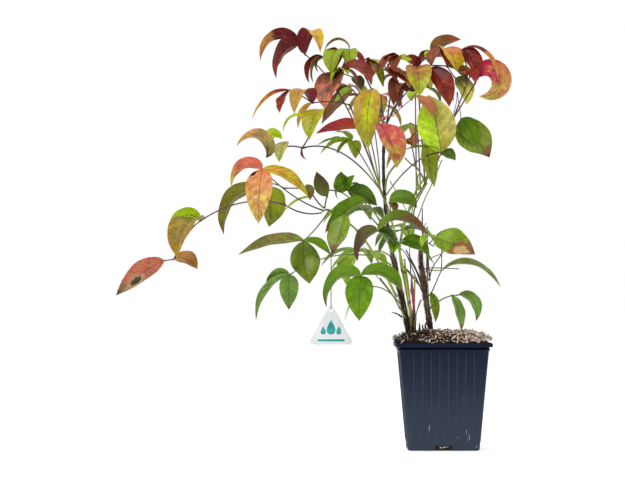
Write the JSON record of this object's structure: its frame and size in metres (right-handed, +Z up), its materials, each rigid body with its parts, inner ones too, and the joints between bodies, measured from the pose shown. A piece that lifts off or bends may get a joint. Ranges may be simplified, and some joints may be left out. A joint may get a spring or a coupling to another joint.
{
  "type": "potted heavenly bamboo plant",
  "caption": "Young heavenly bamboo (nandina) in a square black nursery pot: slim canes, wide arching fronds of green to red leaflets, and a plain hanging label.",
  "frame": {"origin": "middle of the pot's flat underside, where it stands on the ground", "axes": "+Z up; +X to the right as the plant is seen from its front, which faces -Y; its longest fronds reach towards -X"},
  "size_m": [0.3634, 0.2286, 0.3931],
  "materials": {
    "pot_plastic": "semi-matt moulded black plastic with a blue cast",
    "bark_mulch": "loose chips and fibres of bark",
    "bark": "rough, with old leaf sheaths",
    "green_stem": "smooth green stalk turning purple-brown",
    "young_shoot": "smooth, pink",
    "dead_stem": "dry and grey-brown",
    "red_leaf": "smooth young leaf, red to orange",
    "turning_leaf": "smooth leaf, yellow to lime with red edges",
    "green_leaf": "smooth green leaf with brown at its tip",
    "label_card": "glossy white plastic",
    "tie_plastic": "dark thin plastic tie"
  },
  "bodies": {
    "root": {"pot": "pot_plastic", "soil": "bark_mulch", "old_cane": "bark", "right_cane": "bark", "green_stalk": "green_stem", "right_stalk": "green_stem", "reach_stalk": "green_stem", "young_shoot": "young_shoot", "dead_stub": "dead_stem", "dead_twig_left": "dead_stem", "dead_twig_right": "dead_stem", "dead_twig_low": "dead_stem", "crest_left": "turning_leaf", "left_second": "turning_leaf", "left_arch": "turning_leaf", "orange_trio": "turning_leaf", "far_reach": "green_leaf", "olive_upright": "green_leaf", "lower_left": "green_leaf", "back_left": "green_leaf", "tag_stalk": "green_leaf", "low_trio": "green_leaf", "low_shoot": "green_leaf", "mid_left": "green_leaf", "big_left": "green_leaf", "mid_arch": "green_leaf", "mid_right": "green_leaf", "stalk_leaves": "green_leaf", "right_blotch": "green_leaf", "right_arch": "green_leaf", "right_low": "green_leaf", "right_low_leaf": "green_leaf", "right_pair": "turning_leaf", "right_curl": "turning_leaf", "lime_pair": "turning_leaf", "coral_fall": "turning_leaf", "yellow_fall": "red_leaf", "brown_left": "red_leaf", "green_back_left": "turning_leaf", "top_left_centre": "red_leaf", "top_centre": "red_leaf", "top_right": "red_leaf", "rose_fold": "turning_leaf", "fork_leaves": "turning_leaf", "back_crown_left": "red_leaf", "back_crown_right": "red_leaf", "back_crown_middle": "red_leaf", "back_shoulder": "turning_leaf", "back_waist": "green_leaf", "back_waist_right": "green_leaf", "back_skirt": "green_leaf", "tag": "label_card", "tag_tie": "tie_plastic"}
  },
  "joints": []
}
